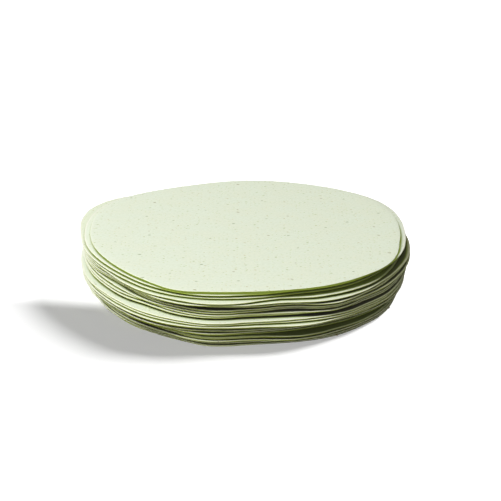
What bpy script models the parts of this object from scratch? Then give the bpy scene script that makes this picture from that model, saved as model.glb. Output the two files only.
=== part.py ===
"""A stack of raw papadums: thin round sheets of dried dough that lie loosely one on another.

Each papadum is one closed solid. They all come from the same slightly out-of-round die, and each
has slid, spread and curled a little on its own, so their rims show as many uneven lines.
"""

import math
import random

import bmesh
import bpy

MM = 0.001

# Driving dimensions.
STACK_HEIGHT = 30.0 * MM
DIE_RADIUS = 89.0 * MM  # mean radius of a papadum
THICKNESS = 0.6 * MM
REST_GAP = 0.3 * MM  # least space between neighbours, at any point
FLAT_RADIUS = 58.0 * MM  # inside it the sheets lie evenly spaced, outside it they part
FULL_RADIUS = 96.0 * MM  # where the rims are as far apart as OPEN_GAPS says
SEGMENTS = 60

# The die's outline: waves round the rim, as (waves in one turn, mm, degrees of one crest).
DIE_WAVES = ((3, 1.6, 38), (4, 1.35, -36), (5, 0.8, 22), (6, 0.45, 22), (7, 0.55, -10))

# Each papadum from the top down: (slid right, slid back, wider by, oval by), in mm.
LAYERS = (
    (1.1, 0.0, -1.9, 0.0),
    (1.2, 1.4, 0.2, 1.0),
    (0.4, 1.0, 0.7, 1.2),
    (0.8, 0.3, 1.4, 1.0),
    (1.8, -0.9, 2.0, 1.0),
    (2.2, -0.3, 1.3, 1.0),
    (2.2, 0.4, 1.2, 1.0),
    (1.8, 0.4, 0.6, 1.0),
    (1.6, 0.5, 1.5, 1.0),
    (1.0, 0.4, 1.3, 1.0),
    (0.0, -1.4, 2.5, 0.6),
    (0.0, -2.2, 1.7, 0.2),
    (-0.3, -2.1, 2.7, 0.3),
    (-0.3, -2.3, 1.4, 0.0),
    (0.2, -1.6, 1.9, 0.2),
    (0.4, -1.5, 0.0, 0.0),
    (0.6, -0.8, -0.4, 0.0),
    (1.0, -0.5, 0.4, -0.2),
    (1.1, -0.5, -0.9, -0.5),
    (1.5, -0.5, -0.1, -0.6),
    (1.5, -0.9, -1.7, -0.5),
    (1.6, 0.0, -1.3, -0.5),
    (1.7, -0.3, -1.9, -0.5),
    (1.8, 1.6, -1.8, 0.2),
)
COUNT = len(LAYERS)

# Stretches of rim that stand out or in together: (first, last papadum, degrees, mm, half width).
RUNS = (
    (1, 1, 248, 2.2, 14),
    (1, 1, 329, 2.4, 22),
    (2, 2, 257, 1.0, 16),
    (2, 2, 346, 0.5, 18),
    (2, 3, 292, -2.2, 20),
    (2, 3, 313, -2.6, 22),
    (3, 3, 152, 5.0, 34),
    (3, 3, 340, -2.8, 30),
    (4, 4, 214, -1.0, 22),
    (4, 4, 262, 2.8, 18),
    (4, 4, 342, -2.4, 28),
    (4, 5, 283, -2.0, 13),
    (5, 5, 252, 1.2, 16),
    (5, 5, 326, -2.2, 28),
    (5, 7, 218, -2.2, 26),
    (6, 6, 330, -1.2, 28),
    (6, 8, 285, -1.8, 13),
    (6, 9, 299, 2.2, 14),
    (7, 12, 260, 1.8, 14),
    (9, 10, 236, -2.2, 14),
    (9, 13, 313, -1.2, 10),
    (11, 14, 186, -1.6, 26),
    (13, 14, 288, 2.2, 16),
    (15, 17, 302, -2.6, 32),
    (16, 23, 259, 1.5, 14),
    (17, 24, 346, -1.2, 26),
    (18, 20, 288, 2.2, 16),
    (18, 24, 240, -1.9, 18),
    (20, 24, 314, -1.0, 18),
    (23, 24, 262, 0.9, 16),
    (24, 24, 188, 2.5, 16),
)

# Gaps that stand open under a papadum, at its left, front, right and back: shares of the height
# that is left over once every papadum rests on the next.
OPEN_GAPS = {
    1: (0.2, 1.5, 1.6, 0.3),
    2: (0.3, 0.8, 1.0, 0.3),
    3: (0.8, 0.2, 0.8, 0.2),
    4: (0.6, 0.4, 1.8, 0.3),
    5: (0.8, 1.0, 0.5, 0.6),
    6: (0.6, 1.2, 0.8, 0.4),
    7: (0.4, 0.4, 0.6, 0.4),
    10: (1.3, 1.0, 1.0, 0.8),
    14: (0.3, 1.3, 1.3, 0.6),
    15: (1.0, 0.6, 0.8, 0.4),
    16: (0.3, 0.8, 1.0, 0.8),
}
CLOSED_GAP = 0.12  # the share of every other gap
LEAST_GAP = 0.02  # the smallest share a gap may have

SEED = 24
RIM_WAVES = (2, 3, 4, 5)
FRAY_WAVES = (7, 9, 11, 14, 17)
GAP_WAVES = (1, 2, 3, 5)


def seeded_waves(orders, size, fall, number):
    """Random waves for one papadum: (waves in one turn, size, phase), finer ones smaller."""
    draw = random.Random(SEED * 1000 * len(orders) + number)
    return [
        (order, size * draw.uniform(0.5, 1.0) / order**fall, draw.uniform(0.0, math.tau))
        for order in orders
    ]


def wave_sum(waves, angle):
    return sum(size * math.cos(order * angle + phase) for order, size, phase in waves)


RIMS = [seeded_waves(RIM_WAVES, 0.8, 0.7, number) for number in range(COUNT)]
FRAYS = [seeded_waves(FRAY_WAVES, 0.5, 1.0, number) for number in range(COUNT)]
GAPS = [seeded_waves(GAP_WAVES, 0.9, 0.7, number) for number in range(COUNT)]


def run_reach(number, angle):
    """How far the runs push a papadum's rim out or in at an angle, in mm."""
    reach = 0.0
    for first, last, degrees, size, half_width in RUNS:
        if first <= number + 1 <= last:
            away = math.remainder(angle - math.radians(degrees), math.tau)
            share = min(1.0, abs(away) / math.radians(half_width))
            reach += size * math.cos(share * math.pi / 2) ** 2
    return reach


def rim_radius(number, angle):
    """Distance from the stack's axis to a papadum's rim."""
    right, back, wider, oval = LAYERS[number]
    reach = wider + right * math.cos(angle) + back * math.sin(angle) + oval * math.cos(2 * angle)
    for order, size, crest in DIE_WAVES:
        reach += size * math.cos(order * (angle - math.radians(crest)))
    if number > 0:
        reach += wave_sum(RIMS[number], angle) + wave_sum(FRAYS[number], angle)
    return DIE_RADIUS + (reach + run_reach(number, angle)) * MM


def gap_share(number, angle):
    """How wide the gap under a papadum stands at the rim, as a share of all of them."""
    share = CLOSED_GAP * (1.0 + wave_sum(GAPS[number], angle))
    if number + 1 in OPEN_GAPS:
        left, front, right, back = OPEN_GAPS[number + 1]
        along, across = math.cos(angle), math.sin(angle)
        share += (right if along > 0 else left) * along**2
        share += (back if across > 0 else front) * across**2
    return max(LEAST_GAP, share)


def rim_levels(angle):
    """Heights of the undersides at FULL_RADIUS, from the top papadum down."""
    shares = [gap_share(number, angle) for number in range(COUNT - 1)]
    slack = STACK_HEIGHT - COUNT * THICKNESS - (COUNT - 1) * REST_GAP
    unit = slack / sum(shares)
    levels = [0.0]
    for share in reversed(shares):
        levels.append(levels[-1] + THICKNESS + REST_GAP + share * unit)
    return levels[::-1]


PITCH = (STACK_HEIGHT - THICKNESS) / (COUNT - 1)


def flat_level(number):
    """Height of a papadum's underside in the middle of the stack."""
    return (COUNT - 1 - number) * PITCH


def underside(number, radius, angle):
    """Height of a papadum's underside at a place: flat in the middle, parted at the rim."""
    flat = flat_level(number)
    share = max(0.0, radius - FLAT_RADIUS) / (FULL_RADIUS - FLAT_RADIUS)
    return flat + (rim_levels(angle)[number] - flat) * share


def stack_centre():
    """Middle of the stack's outline, which goes over the origin."""
    rims = []
    for number in range(COUNT):
        for step in range(SEGMENTS):
            angle = math.tau * step / SEGMENTS
            radius = rim_radius(number, angle)
            rims.append((radius * math.cos(angle), radius * math.sin(angle)))
    across = [rim[0] for rim in rims]
    along = [rim[1] for rim in rims]
    return (min(across) + max(across)) / 2, (min(along) + max(along)) / 2


def dough_material(number):
    """Pale green raw dough, a little darker and drier from the top of the stack down."""
    shade = 1.0 - 0.006 * number
    material = bpy.data.materials.new(f"raw dough {number + 1:02d}")
    material.use_nodes = True
    surface = material.node_tree.nodes["Principled BSDF"]
    surface.inputs["Base Color"].default_value = (0.72 * shade, 0.76 * shade, 0.58 * shade, 1.0)
    surface.inputs["Roughness"].default_value = 0.75
    surface.inputs["Metallic"].default_value = 0.0
    return material


def raise_sheet(sheet, number):
    """Lift the flat sheet's vertices to the underside of one papadum."""
    for vertex in sheet.verts:
        radius = math.hypot(vertex.co.x, vertex.co.y)
        angle = math.atan2(vertex.co.y, vertex.co.x)
        vertex.co.z = underside(number, radius, angle) - flat_level(number)


def flat_disc(number):
    """The papadum's outline as a flat sheet of triangles: a fan, and a ring out to the rim."""
    sheet = bmesh.new()
    bmesh.ops.create_circle(
        sheet, cap_ends=True, cap_tris=True, segments=SEGMENTS, radius=FLAT_RADIUS
    )
    edge = [e for e in sheet.edges if e.is_boundary]
    grown = bmesh.ops.extrude_edge_only(sheet, edges=edge)["geom"]
    for vertex in (item for item in grown if isinstance(item, bmesh.types.BMVert)):
        angle = math.atan2(vertex.co.y, vertex.co.x)
        vertex.co.x = rim_radius(number, angle) * math.cos(angle)
        vertex.co.y = rim_radius(number, angle) * math.sin(angle)
    bmesh.ops.triangulate(sheet, faces=sheet.faces[:], quad_method="FIXED")
    return sheet


def add_papadum(number, centre, collection):
    """One papadum: its flat disc lifted to its own curl, then thickened straight up."""
    sheet = flat_disc(number)
    raise_sheet(sheet, number)
    upper = bmesh.ops.extrude_face_region(sheet, geom=sheet.faces[:], use_keep_orig=True)["geom"]
    top = [item for item in upper if isinstance(item, bmesh.types.BMVert)]
    bmesh.ops.translate(sheet, verts=top, vec=(0.0, 0.0, THICKNESS))
    bmesh.ops.recalc_face_normals(sheet, faces=sheet.faces[:])
    mesh = bpy.data.meshes.new(f"papadum_{number + 1:02d}")
    sheet.to_mesh(mesh)
    sheet.free()
    mesh.materials.append(dough_material(number))
    papadum = bpy.data.objects.new(mesh.name, mesh)
    papadum.location = (-centre[0], -centre[1], flat_level(number))
    collection.objects.link(papadum)


def main():
    for thing in list(bpy.data.objects):
        bpy.data.objects.remove(thing, do_unlink=True)
    stack = bpy.data.collections.new("stack_of_papadums")
    bpy.context.scene.collection.children.link(stack)
    centre = stack_centre()
    for number in range(COUNT):
        add_papadum(number, centre, stack)


if __name__ == "__main__":
    main()
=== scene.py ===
"""A stack of raw papadums on a plain pale floor.

Every sheet is modelled finely, over the rim and the curl of its own node in the frame. The dough is
pale green, with small flecks of cracked pepper and cumin in it. A cut edge is olive, partly its own
colour and partly painted shade, and its upper rim carries a painted highlight, a pale line. What
lies back under the sheets above has painted shade, olive, then nearly black.
"""

import math
import random
from functools import partial

import bpy
import numpy as np
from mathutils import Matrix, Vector


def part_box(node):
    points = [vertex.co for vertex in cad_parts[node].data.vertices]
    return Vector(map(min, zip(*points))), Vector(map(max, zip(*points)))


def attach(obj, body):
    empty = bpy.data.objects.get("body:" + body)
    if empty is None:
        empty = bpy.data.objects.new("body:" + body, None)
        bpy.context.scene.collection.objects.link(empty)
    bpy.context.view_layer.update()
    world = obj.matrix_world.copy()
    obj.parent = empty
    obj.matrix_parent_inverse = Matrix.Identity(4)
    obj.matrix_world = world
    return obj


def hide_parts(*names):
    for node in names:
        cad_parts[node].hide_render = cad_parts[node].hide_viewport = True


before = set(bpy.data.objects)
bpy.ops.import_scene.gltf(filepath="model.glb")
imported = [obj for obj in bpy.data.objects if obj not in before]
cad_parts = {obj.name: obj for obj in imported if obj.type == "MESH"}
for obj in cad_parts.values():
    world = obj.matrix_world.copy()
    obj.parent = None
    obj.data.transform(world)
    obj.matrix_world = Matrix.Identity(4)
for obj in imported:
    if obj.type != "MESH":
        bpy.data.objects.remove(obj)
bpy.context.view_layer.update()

MM = 0.001

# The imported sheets' own sizes.
STACK_AXIS = (0.5529 * MM, 1.9655 * MM)  # what the rims are drawn round
RIM_POINTS = 60  # corners round the rim of a packed sheet
RIM_CLEARANCE = 5.0 * MM  # the least way that a rim stands out from the flat part
FLAT_RADIUS = 58.0 * MM  # inside it the sheets lie evenly, outside it they part
THICKNESS = 0.6 * MM

# The sheet that all the others are copied from.
SHEET_RADIUS = 89.0 * MM
RIM_STEPS = 360
RING_WIDTHS = (0.5, 0.8, 1.2, 1.8, 2.5, 3.5, 4.5, 5.5, 7.0, 9.0, 11.0, 12.0, 12.0)  # mm, inwards
RIM_ROUNDING = 0.14 * MM
ROUNDING_STEPS = 2
AT_RIM = 0.05 * MM  # how near to the rim's radius a corner of the rim lies
AT_LEVEL = 0.1 * MM  # how nearly level an edge along the rim is
SHEET_SMOOTHING = 50  # degrees, up to which two faces are shaded as one
RIM_THINNING = 0.16 * MM  # how much thinner a sheet is at its rim than in its middle
THINNING_WIDTH = 2.0 * MM
CURL_SOFTNESS = 12.0 * MM  # how gently a sheet leaves the flat

# The fine fraying of a rim: waves round it, and how far in it lies, on the whole and by turns.
FRAY_ORDERS = (23, 31, 47, 61, 83)  # waves in one turn
FRAY_INSET = 0.14 * MM
FRAY_DEPTH = 0.12 * MM
FRAY_SEED = 500

# How far a place lies back under the sheets above it, in mm, which sets how much painted shade it
# takes.
SHADE_LEAN = 0.8  # how much further a sheet has to stand out for each mm it lies higher
SHADE_SIDE = 0.9  # how much less on the side away from the light
SHADE_TURN = 340  # degrees round of that side
NOT_COVERED = -9.0
ALL_COVERED = 9.0

# What counts as which part of a sheet's skin.
UNDERSIDE = 0.15  # shares of the thickness, from below
WALL_TOP = 0.85
WALL_INSET = 0.1  # mm in from the rim
DOUGH_SPREAD = 1.0  # metres between the places where two sheets may have been cut from the dough

# Broken bits that cling to the rims: (papadum from the top, degrees round, mm long).
CRUMBS = (
    (24, 300, 2.6),
    (23, 302, 1.5),
    (24, 333, 1.5),
    (22, 330, 1.0),
    (24, 251, 1.2),
    (24, 243, 0.9),
    (20, 262, 0.8),
    (24, 283, 1.2),
    (24, 287, 0.9),
    (15, 236, 0.9),
    (9, 247, 0.8),
    (12, 275, 0.8),
)
CRUMB_SEED = 71
CRUMB_JAGGEDNESS = 0.3  # how far its corners are moved, as a share of its size
CRUMB_FLATNESS = (1.0, 0.6, 0.45)  # its length, width and height, as shares of its length
CRUMB_SEAT = 0.7  # the least height of its middle over the floor, as a share of its height
CRUMB_SMOOTHING = 35  # degrees
CRUMB_TURN = 0.5  # radians to either side of lying along the rim
CRUMB_PATCH = 0.9 * MM
CRUMB_DARK = "#4A3D22"
CRUMB_PALE = "#A08B5C"
CRUMB_ROUGHNESS = 0.8

# Colours of the dough's faces, and of the painted highlight along a rim.
FACE = "#E8F0E5"
FACE_WARM = "#E9EFE2"
FACE_GRAIN = "#E2EADD"  # in the grain's pits
RIM_HIGHLIGHT = "#EFF1E9"

# Colours of the cut edge: olive, partly its own colour and partly painted shade, with painted light
# and shade on it.
WALL = "#A0AC43"
WALL_LIT_THROUGH = "#9DAE45"  # painted light, where it comes through
WALL_FILL_LIT = "#CFD5B4"  # painted light, on the side where it fills the gaps
WALL_SHADE = "#4C5118"  # painted shade, furthest back

# Colours of the painted shade between two sheets, near the rim and further back.
NEAR_SHADE = "#8A9B42"
SHADE_LIT_THROUGH = "#808F3A"  # painted light, where it comes through the sheet above
NEAR_SHADE_FILL_LIT = "#B4BB95"  # painted light, on the side where it fills the gaps
DEEP_SHADE = "#4C4C4E"

# The dough's own grain: mottled by rolling flour, and pitted as coarsely as a view can show.
MOTTLE_SIZE = 14.0 * MM
MOTTLE_DETAIL = 3.0
MOTTLE_TURNS = (0.35, 0.65)  # where the noise turns from one tone to the other
GRAIN_SIZE = 1.5 * MM
GRAIN_DETAIL = 2.0
GRAIN_TURNS = (0.35, 0.75)
GRAIN_HEIGHT = 0.02 * MM
ROUGHNESS = (0.64, 0.78)  # on the grain's tops and in its pits
SPECULAR = 0.3  # dry flour takes most of the sheen off

# Flecks, by size: (mm apart, share of them there, radii in mm, green, brown).
FLECKS = (
    (2.4, 0.35, (0.3, 0.6), "#B4C87A", "#CAC384"),
    (5.5, 0.35, (0.45, 0.85), "#8BA236", "#A89B4A"),
    (16.0, 0.4, (0.7, 1.2), "#5F7820", "#7E702F"),
)
FLECK_LENGTH = 3.2  # how many times longer than wide a fleck is
FLECK_TURN = 0.8  # radians that they lie to either side of the way the dough was rolled, in all
FLECK_SOFTNESS = (0.5, 1.1)  # where its edge begins to fade and is gone, as shares of its radius
GREEN_SHARE = 0.7  # how many of them are green, and not brown

# Where each tone of the edge begins and is complete, in mm.
HIGHLIGHT_REACH = (0.5, 1.3)  # in from the rim, for the painted highlight
HIDDEN_REACH = (-0.4, 0.4)  # back under the sheets above
# Where the painted shade begins and is complete: near the rim, then nearly black, and on the cut
# edge.
NEAR_SHADE_REACH = (-1.5, 0.0)
DEEP_SHADE_REACH = (-0.5, 0.4)
WALL_SHADE_REACH = (-0.8, 2.2)
HIGHLIGHT_KEEPS = 0.05  # how much of the painted shade a rim's painted highlight takes
TOP_HIGHLIGHT = 0.2  # how clear the top sheet's painted highlight is, which faces the light
# How much of a sheet's painted shade stays olive and isn't nearly black, as painted light that
# comes through the sheet above or into an open gap: papadum from the top, share.
SHOWS_THROUGH = {1: 1.0, 2: 1.0, 3: 0.7, 4: 0.5, 5: 0.2, 17: 0.55, 18: 0.3}
PALE_TURN = 178  # degrees round of the side where painted light fills the gaps
PALE_WIDTH = 22  # degrees to where they are as dark as elsewhere
PALE_FADE = 0.6  # below one, the paleness holds out longer towards its ends

# Light. Turns are degrees round the stack from its right, rises are degrees over the floor, and
# spreads are degrees across. Distances and sizes are in metres.
LAMP_DISTANCE = 1.6
LAMP_SIZE = 0.67
KEY = {"turn": 205, "rise": 48, "power": 20.6}
LOW = {"turn": 250, "rise": 8, "power": 11.6}
LOW_TINT = (1.0, 1.0, 0.72)
DOME = {"turn": 0, "rise": 90, "power": 0.98}
DOME_SPREAD = 160
DOME_TINT = (1.0, 1.0, 0.77)  # on the top sheets, which stand free
SHADE_TINT = (1.0, 1.0, 0.63)  # on the rest, among dough that throws its own colour back
SKY = 0.03  # strength of the even light from all round

# The floor's own light. The spot whitens it behind the shadow, so that the shadow ends straight.
FLOOR_SUN = {"turn": 23, "rise": 38, "power": 3.7}
FLOOR_SPREAD = 22
FLOOR_FILL = {"turn": 0, "rise": 90, "power": 1.4}
FLOOR_SPOT = {"power": 30.0, "angle": 30.0, "blend": 0.12}
FLOOR_SPOT_PLACE = (-0.05, 0.225, 1.0)
FLOOR_WHITE = "#F9F9F9"
FLOOR_ROUGHNESS = 0.9
FLOOR_SIDE = 6.0
FLOOR_DROP = 0.1 * MM  # how far it lies under the stack

# The camera's place.
CAMERA_RISE = 21.5  # degrees over the floor
CAMERA_DISTANCE = 0.8  # metres
CAMERA_AIM = (3.317 * MM, 0.0, 17.819 * MM)  # from the stack's axis at floor height
SENSOR_WIDTH = 36.0  # mm
FRAME_WIDTH = 501  # pixels
FOCAL_LENGTH = 1439.0 / FRAME_WIDTH * SENSOR_WIDTH
NEAR_LIMIT = 0.05  # metres


def deselect_all():
    bpy.ops.object.select_all(action="DESELECT")


def make_base_sheet():
    """One flat round sheet, ringed, as thick as a papadum and with its rim rounded off."""
    deselect_all()
    bpy.ops.mesh.primitive_circle_add(vertices=RIM_STEPS, radius=SHEET_RADIUS, fill_type="NGON")
    sheet = bpy.context.object
    bpy.ops.object.mode_set(mode="EDIT")
    bpy.ops.mesh.select_all(action="SELECT")
    for width in RING_WIDTHS:
        bpy.ops.mesh.inset(thickness=width * MM)
    bpy.ops.mesh.poke()
    bpy.ops.mesh.select_all(action="SELECT")
    bpy.ops.mesh.extrude_region_move(TRANSFORM_OT_translate={"value": (0.0, 0.0, THICKNESS)})
    bpy.ops.mesh.select_all(action="SELECT")
    bpy.ops.mesh.normals_make_consistent(inside=False)
    bpy.ops.mesh.select_all(action="DESELECT")
    bpy.ops.mesh.select_mode(type="EDGE")
    bpy.ops.object.mode_set(mode="OBJECT")
    mesh = sheet.data
    nearly = SHEET_RADIUS - AT_RIM
    for edge in mesh.edges:
        ends = [mesh.vertices[index].co for index in edge.vertices]
        at_rim = all(math.hypot(end.x, end.y) > nearly for end in ends)
        edge.select = at_rim and abs(ends[0].z - ends[1].z) < AT_LEVEL
    bpy.ops.object.mode_set(mode="EDIT")
    bpy.ops.mesh.bevel(offset=RIM_ROUNDING, segments=ROUNDING_STEPS)
    bpy.ops.object.mode_set(mode="OBJECT")
    bpy.ops.object.shade_smooth_by_angle(angle=math.radians(SHEET_SMOOTHING))
    return sheet


def rim_of(node):
    """A packed sheet's rim, as (distance from the axis, underside's height) at even steps."""
    found = [None] * RIM_POINTS
    for vertex in node.data.vertices:
        x, y = vertex.co.x - STACK_AXIS[0], vertex.co.y - STACK_AXIS[1]
        radius = math.hypot(x, y)
        step = round(math.atan2(y, x) / math.tau * RIM_POINTS) % RIM_POINTS
        lowest = found[step] is None or vertex.co.z < found[step][1]
        if lowest and radius > FLAT_RADIUS + RIM_CLEARANCE:
            found[step] = (radius, vertex.co.z)
    return found


def smooth_round(values):
    """Even steps round a circle, drawn out to RIM_STEPS steps as a smooth curve through them."""
    values = np.array(values)
    place = np.arange(RIM_STEPS) * len(values) / RIM_STEPS
    step = place.astype(int)
    share = place - step
    before, here, after, beyond = (values[(step + k) % len(values)] for k in (-1, 0, 1, 2))
    curve = 2 * before - 5 * here + 4 * after - beyond
    turn = 3 * (here - after) + beyond - before
    return here + 0.5 * share * (after - before + share * (curve + share * turn))


class Stack:
    """All the sheets' rims and slopes, at RIM_STEPS steps round the axis."""

    def __init__(self, nodes):
        rims = [rim_of(node) for node in nodes]
        self.count = len(nodes)
        pitch = (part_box("papadum_01")[1][2] - THICKNESS) / (self.count - 1)
        self.levels = [pitch * (self.count - 1 - number) for number in range(self.count)]
        self.reach = np.array([smooth_round([radius for radius, _ in rim]) for rim in rims])
        self.heights = np.array([smooth_round([height for _, height in rim]) for rim in rims])
        rise = self.heights - np.array(self.levels)[:, None]
        self.slopes = rise / (self.reach - FLAT_RADIUS)

    def cover(self, number, step, radius, height):
        """How far places on a sheet lie back under the sheets above it, in mm."""
        covers = np.full(radius.shape, NOT_COVERED)
        away = np.cos(step / RIM_STEPS * math.tau - math.radians(SHADE_TURN))
        lean = SHADE_LEAN - SHADE_SIDE * np.maximum(away, 0.0)
        for above in range(number):
            out = self.reach[above][step] - radius
            up = self.heights[above][step] - height
            covers = np.maximum(covers, (out - lean * np.maximum(up, 0.0)) / MM)
        return covers


def pale_share(angle):
    """How pale the gaps are painted at an angle: fully where the light fills them, not at all
    elsewhere.
    """
    ends = math.cos(math.radians(PALE_WIDTH))
    share = (np.cos(angle - math.radians(PALE_TURN)) - ends) / (1.0 - ends)
    return np.clip(share, 0.0, 1.0) ** PALE_FADE


def store(mesh, name, values):
    """Keep one number, or one place, at every vertex for the material to read."""
    kind, field = ("FLOAT", "value") if values.ndim == 1 else ("FLOAT_VECTOR", "vector")
    layer = mesh.attributes.new(name, kind, "POINT")
    layer.data.foreach_set(field, values.ravel().astype(np.float32))


def make_sheet(base, number, stack):
    """A copy of the base sheet, drawn to one node's rim and curl."""
    sheet = base.copy()
    sheet.data = base.data.copy()
    sheet.name = f"sheet_{number + 1:02d}"
    bpy.context.collection.objects.link(sheet)
    mesh = sheet.data
    flat = np.empty(len(mesh.vertices) * 3)
    mesh.vertices.foreach_get("co", flat)
    flat = flat.reshape(-1, 3)
    angle = np.arctan2(flat[:, 1], flat[:, 0])
    share = np.hypot(flat[:, 0], flat[:, 1]) / SHEET_RADIUS
    step = np.round(angle / math.tau * RIM_STEPS).astype(int) % RIM_STEPS

    draw = random.Random(FRAY_SEED + number)
    waves = [np.cos(order * angle + draw.uniform(0, math.tau)) for order in FRAY_ORDERS]
    rim = stack.reach[number][step] - FRAY_INSET - FRAY_DEPTH * sum(waves) / len(waves)
    radius = share * rim
    thinned = RIM_THINNING * np.exp((radius - rim) / THINNING_WIDTH)
    out = radius - FLAT_RADIUS
    lift = (out + np.hypot(out, CURL_SOFTNESS)) / 2
    height = stack.levels[number] + stack.slopes[number][step] * lift
    height += flat[:, 2] * (1.0 - thinned / THICKNESS)
    x = STACK_AXIS[0] + radius * np.cos(angle)
    y = STACK_AXIS[1] + radius * np.sin(angle)
    mesh.vertices.foreach_set("co", np.stack([x, y, height], axis=1).ravel())

    depth = flat[:, 2] / THICKNESS
    inset = (rim - radius) / MM
    cover = stack.cover(number, step, radius, height)
    # Undersides take the full painted shade.
    cover[depth < UNDERSIDE] = ALL_COVERED
    through = SHOWS_THROUGH.get(number + 1, 0.0)
    store(mesh, "inset", inset)
    store(mesh, "cover", cover)
    store(mesh, "rim_cover", stack.cover(number, step, rim, height))
    store(mesh, "wall", (inset < WALL_INSET) & (depth < WALL_TOP) | (depth < UNDERSIDE))
    store(mesh, "through", np.full(radius.shape, through))
    store(mesh, "pale", pale_share(angle))
    store(mesh, "line", np.full(radius.shape, TOP_HIGHLIGHT if number == 0 else 1.0))
    moved = draw.uniform(-DOUGH_SPREAD, DOUGH_SPREAD)
    store(mesh, "dough", np.stack([x + moved, y, np.zeros_like(x)], axis=1))
    mesh.update()
    return sheet


def make_crumbs(stack):
    """The broken bits of dough and seed that cling to the rims, joined into one piece."""
    draw = random.Random(CRUMB_SEED)
    deselect_all()
    bpy.ops.mesh.primitive_ico_sphere_add(subdivisions=2, radius=0.5)
    grain = bpy.context.object
    for vertex in grain.data.vertices:
        vertex.co *= 1.0 + CRUMB_JAGGEDNESS * draw.uniform(-1.0, 1.0)
    bits = []
    for number, degrees, length in CRUMBS:
        bit = grain.copy()
        bit.data = grain.data.copy()
        bpy.context.collection.objects.link(bit)
        angle = math.radians(degrees)
        step = round(degrees / 360 * RIM_STEPS) % RIM_STEPS
        reach = stack.reach[number - 1][step]
        height = stack.heights[number - 1][step] + THICKNESS / 2
        size = length * MM
        bit.scale = [size * share for share in CRUMB_FLATNESS]
        turn = draw.uniform(-CRUMB_TURN, CRUMB_TURN)
        bit.rotation_euler = (0.0, 0.0, angle + math.pi / 2 + turn)
        bit.location = (
            STACK_AXIS[0] + reach * math.cos(angle),
            STACK_AXIS[1] + reach * math.sin(angle),
            max(height, size * CRUMB_FLATNESS[2] * CRUMB_SEAT),
        )
        bits.append(bit)
    bpy.data.objects.remove(grain, do_unlink=True)
    deselect_all()
    for bit in bits:
        bit.select_set(True)
    bpy.context.view_layer.objects.active = bits[0]
    bpy.ops.object.join()
    crumbs = bpy.context.object
    bpy.ops.object.transform_apply(location=True, rotation=True, scale=True)
    bpy.ops.object.shade_smooth_by_angle(angle=math.radians(CRUMB_SMOOTHING))
    crumbs.name = "crumbs"
    return crumbs


def linear(hex_colour):
    """An sRGB colour such as #E5ECD8 as linear red, green, blue and alpha."""
    shares = [int(hex_colour[place : place + 2], 16) / 255 for place in (1, 3, 5)]
    return [s / 12.92 if s <= 0.04045 else ((s + 0.055) / 1.055) ** 2.4 for s in shares] + [1.0]


def add_node(tree, kind, inputs=(), out=0, **settings):
    """Add a node with its settings, plain values and links, and give one of its outputs."""
    node = tree.nodes.new("ShaderNode" + kind)
    for name, value in settings.items():
        setattr(node, name, value)
    for name, value in inputs.items() if isinstance(inputs, dict) else enumerate(inputs):
        if isinstance(value, bpy.types.NodeSocket):
            tree.links.new(value, node.inputs[name])
        else:
            node.inputs[name].default_value = value
    return node.outputs[out]


TONES = {"out": 2, "data_type": "RGBA"}  # a Mix node of two colours, in its sockets 6 and 7
SMOOTH = {"interpolation_type": "SMOOTHSTEP"}


def new_material(name):
    """A new material, with its shader and a way to add nodes to it."""
    material = bpy.data.materials.new(name)
    material.use_nodes = True
    tree = material.node_tree
    return material, tree.nodes["Principled BSDF"], partial(add_node, tree)


def add_flecks(add, face, place):
    """Flecks of seed and pepper, one to a cell of the dough, drawn out by the rolling."""
    for apart, odds, radii, green, brown in FLECKS:
        cells = {"Vector": place, "Scale": 1 / (apart * MM)}
        centre = add("TexVoronoi", cells, out="Position", voronoi_dimensions="2D")
        chance = add("SeparateColor", (centre.node.outputs["Color"],)).node.outputs
        away = add("VectorMath", (place, centre), operation="SUBTRACT")
        turn = add("MapRange", (chance[2], 0.0, 1.0, -FLECK_TURN / 2, FLECK_TURN / 2))
        away = add("VectorRotate", {"Vector": away, "Angle": turn})
        away = add("VectorMath", (away, (1.0, FLECK_LENGTH, 0.0)), operation="MULTIPLY")
        away = add("VectorMath", (away,), out="Value", operation="LENGTH")
        radius = add("MapRange", (chance[1], 0.0, 1.0, radii[0] * MM, radii[1] * MM))
        away = add("Math", (away, radius), operation="DIVIDE")
        inside = add("MapRange", (away, *FLECK_SOFTNESS, 1.0, 0.0), **SMOOTH)
        there = add("Math", (chance[0], odds), operation="LESS_THAN")
        there = add("Math", (there, inside), operation="MULTIPLY")
        kind = add("Math", (chance[2], GREEN_SHARE), operation="GREATER_THAN")
        tone = add("Mix", {0: kind, 6: linear(green), 7: linear(brown)}, **TONES)
        face = add("Mix", {0: there, 6: face, 7: tone}, **TONES)
    return face


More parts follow.
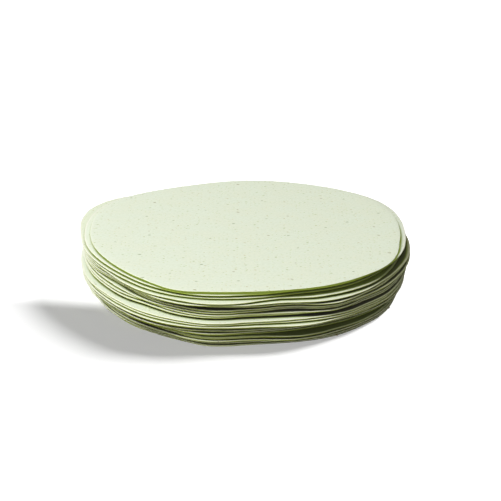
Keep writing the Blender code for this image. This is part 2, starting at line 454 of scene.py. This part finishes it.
def dough_material():
    """Rolled and sun-dried dough: dull pale faces, flecked, with painted rim highlights and painted
    shade, olive where the light dies away, then nearly black.
    """
    material, surface, add = new_material("rolled lentil dough, sun dried")
    inset, cover, rim_cover, wall, through, pale, line = (
        add("Attribute", out="Fac", attribute_name=name)
        for name in ("inset", "cover", "rim_cover", "wall", "through", "pale", "line")
    )
    place = add("Attribute", out="Vector", attribute_name="dough")
    opaque = add("Math", (1.0, through), operation="SUBTRACT")

    # The face: a faint warm mottle of rolling flour, a fine grain, then the flecks.
    mottle = add("TexNoise", {"Vector": place, "Scale": 1 / MOTTLE_SIZE, "Detail": MOTTLE_DETAIL})
    mottle = add("MapRange", (mottle, *MOTTLE_TURNS), **SMOOTH)
    face = add("Mix", {0: mottle, 6: linear(FACE), 7: linear(FACE_WARM)}, **TONES)
    grain = add("TexNoise", {"Vector": place, "Scale": 1 / GRAIN_SIZE, "Detail": GRAIN_DETAIL})
    pits = add("MapRange", (grain, *GRAIN_TURNS), **SMOOTH)
    face = add("Mix", {0: pits, 6: face, 7: linear(FACE_GRAIN)}, **TONES)
    face = add_flecks(add, face, place)

    # A painted highlight along a rim, a pale strip where light would catch it, but not where
    # another sheet hides it.
    hidden = add("MapRange", (cover, *HIDDEN_REACH), **SMOOTH)
    hidden = add("Math", (hidden, through), operation="MULTIPLY")
    clear = add("Math", (1.0, hidden), operation="SUBTRACT")
    on_highlight = add("MapRange", (inset, *HIGHLIGHT_REACH, 1.0, 0.0), **SMOOTH)
    on_highlight = add("Math", (on_highlight, clear), operation="MULTIPLY")
    on_highlight = add("Math", (on_highlight, line), operation="MULTIPLY")
    face = add("Mix", {0: on_highlight, 6: face, 7: linear(RIM_HIGHLIGHT)}, **TONES)

    # Painted shade under the sheets above: olive first, then nearly black.
    takes_shade = add("Math", (on_highlight, HIGHLIGHT_KEEPS - 1.0, 1.0), operation="MULTIPLY_ADD")
    near_shade = add("MapRange", (cover, *NEAR_SHADE_REACH), **SMOOTH)
    near_shade = add("Math", (near_shade, takes_shade), operation="MULTIPLY")
    tone = add("Mix", {0: through, 6: linear(NEAR_SHADE), 7: linear(SHADE_LIT_THROUGH)}, **TONES)
    tone = add("Mix", {0: pale, 6: tone, 7: linear(NEAR_SHADE_FILL_LIT)}, **TONES)
    face = add("Mix", {0: near_shade, 6: face, 7: tone}, **TONES)
    deep_shade = add("MapRange", (cover, *DEEP_SHADE_REACH), **SMOOTH)
    deep_shade = add("Math", (deep_shade, takes_shade), operation="MULTIPLY")
    deep_shade = add("Math", (deep_shade, opaque), operation="MULTIPLY")
    face = add("Mix", {0: deep_shade, 6: face, 7: linear(DEEP_SHADE)}, **TONES)

    # The cut edge, with painted shade that darkens it the further it stands back.
    edge = add("Mix", {0: through, 6: linear(WALL), 7: linear(WALL_LIT_THROUGH)}, **TONES)
    edge = add("Mix", {0: pale, 6: edge, 7: linear(WALL_FILL_LIT)}, **TONES)
    wall_shade = add("MapRange", (rim_cover, *WALL_SHADE_REACH), **SMOOTH)
    wall_shade = add("Math", (wall_shade, opaque), operation="MULTIPLY")
    edge = add("Mix", {0: wall_shade, 6: edge, 7: linear(WALL_SHADE)}, **TONES)

    tree = material.node_tree
    colour = add("Mix", {0: wall, 6: face, 7: edge}, **TONES)
    tree.links.new(colour, surface.inputs["Base Color"])
    roughness = add("MapRange", (grain, 0.0, 1.0, *ROUGHNESS))
    tree.links.new(roughness, surface.inputs["Roughness"])
    pitted = add("Bump", {"Height": grain, "Distance": GRAIN_HEIGHT}, invert=True)
    tree.links.new(pitted, surface.inputs["Normal"])
    surface.inputs["Specular IOR Level"].default_value = SPECULAR
    return material


def crumb_material():
    """Broken cumin and pepper: brown, with dark and pale patches where it has split."""
    material, surface, add = new_material("cracked cumin and pepper")
    place = add("TexCoord", out="Object")
    patches = add("TexNoise", {"Vector": place, "Scale": 1 / CRUMB_PATCH})
    tone = add("Mix", {0: patches, 6: linear(CRUMB_DARK), 7: linear(CRUMB_PALE)}, **TONES)
    material.node_tree.links.new(tone, surface.inputs["Base Color"])
    surface.inputs["Roughness"].default_value = CRUMB_ROUGHNESS
    return material


def make_floor():
    """A floor of board painted matt white: it shows the stack's shadow and no gloss.

    It throws no light back up at the stack.
    """
    deselect_all()
    bpy.ops.mesh.primitive_plane_add(size=FLOOR_SIDE, location=(0.0, 0.0, -FLOOR_DROP))
    floor = bpy.context.object
    floor.name = "floor"
    material, surface, _ = new_material("matt white board")
    surface.inputs["Base Color"].default_value = linear(FLOOR_WHITE)
    surface.inputs["Roughness"].default_value = FLOOR_ROUGHNESS
    surface.inputs["Specular IOR Level"].default_value = 0.0
    floor.data.materials.append(material)
    floor.visible_diffuse = False
    return floor


def gather(name, things):
    """A collection that says what a lamp lights, or what casts its shadows."""
    group = bpy.data.collections.new(name)
    for thing in things:
        group.objects.link(thing)
    return group


def add_lamp(name, kind, lit, shaded_by, power, turn=0, rise=90):
    """A lamp that stands off along its turn and rise, and points at the stack."""
    lamp = bpy.data.lights.new(name, kind)
    lamp.energy = power
    light = bpy.data.objects.new(name, lamp)
    flat = math.cos(math.radians(rise))
    across = math.cos(math.radians(turn)) * flat
    along = math.sin(math.radians(turn)) * flat
    out = Vector((across, along, math.sin(math.radians(rise))))
    light.location = out * LAMP_DISTANCE
    light.rotation_euler = out.to_track_quat("Z", "Y").to_euler()
    bpy.context.scene.collection.objects.link(light)
    light.light_linking.receiver_collection = lit
    if shaded_by:
        light.light_linking.blocker_collection = shaded_by
    return light


def add_light(floor, sheets, crumbs):
    """Soft light from the left on the stack, and a light of its own on the floor.

    The thin top sheet lets light through to the next one, so it casts no shadow on that one.
    """
    on_floor = gather("on_floor", [floor])
    on_top = gather("on_top", sheets[:2])
    on_rest = gather("on_rest", sheets[2:] + [crumbs])
    below_top = gather("below_top", sheets[1:])
    for name, lit, shaded_by, tint in (
        ("top", on_top, below_top, DOME_TINT),
        ("rest", on_rest, None, SHADE_TINT),
    ):
        key = add_lamp(f"key_{name}", "AREA", lit, shaded_by, **KEY).data
        key.size = LAMP_SIZE
        low = add_lamp(f"low_{name}", "AREA", lit, None, **LOW).data
        low.size = LAMP_SIZE
        low.color = LOW_TINT
        dome = add_lamp(f"dome_{name}", "SUN", lit, shaded_by, **DOME).data
        dome.angle = math.radians(DOME_SPREAD)
        dome.color = tint
    sun = add_lamp("floor_sun", "SUN", on_floor, None, **FLOOR_SUN).data
    sun.angle = math.radians(FLOOR_SPREAD)
    add_lamp("floor_fill", "SUN", on_floor, on_floor, **FLOOR_FILL)
    spot = add_lamp("floor_spot", "SPOT", on_floor, on_floor, FLOOR_SPOT["power"])
    spot.location = FLOOR_SPOT_PLACE
    spot.data.spot_size = math.radians(FLOOR_SPOT["angle"])
    spot.data.spot_blend = FLOOR_SPOT["blend"]
    world = bpy.data.worlds.new("studio")
    bpy.context.scene.world = world
    world.use_nodes = True
    background = world.node_tree.nodes["Background"]
    background.inputs["Color"].default_value = (1.0, 1.0, 1.0, 1.0)
    background.inputs["Strength"].default_value = SKY


def add_camera():
    rise = math.radians(CAMERA_RISE)
    back = Vector((0.0, -math.cos(rise), math.sin(rise)))
    lens = bpy.data.cameras.new("camera")
    lens.sensor_width = SENSOR_WIDTH
    lens.lens = FOCAL_LENGTH
    lens.clip_start = NEAR_LIMIT
    camera = bpy.data.objects.new("camera", lens)
    axis = Vector((STACK_AXIS[0], STACK_AXIS[1], 0.0))
    camera.location = axis + Vector(CAMERA_AIM) + CAMERA_DISTANCE * back
    camera.rotation_euler = back.to_track_quat("Z", "Y").to_euler()
    bpy.context.scene.collection.objects.link(camera)
    bpy.context.scene.camera = camera


def main():
    names = sorted(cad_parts)
    nodes = [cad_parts[name] for name in names]
    stack = Stack(nodes)
    base = make_base_sheet()
    dough = dough_material()
    sheets = []
    for number, name in enumerate(names):
        sheet = make_sheet(base, number, stack)
        sheet.data.materials.append(dough)
        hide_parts(name)
        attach(sheet, "root")
        sheets.append(sheet)
    bpy.data.objects.remove(base, do_unlink=True)
    crumbs = make_crumbs(stack)
    crumbs.data.materials.append(crumb_material())
    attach(crumbs, "root")
    add_light(make_floor(), sheets, crumbs)
    add_camera()
    bpy.context.scene.view_settings.view_transform = "Standard"


main()
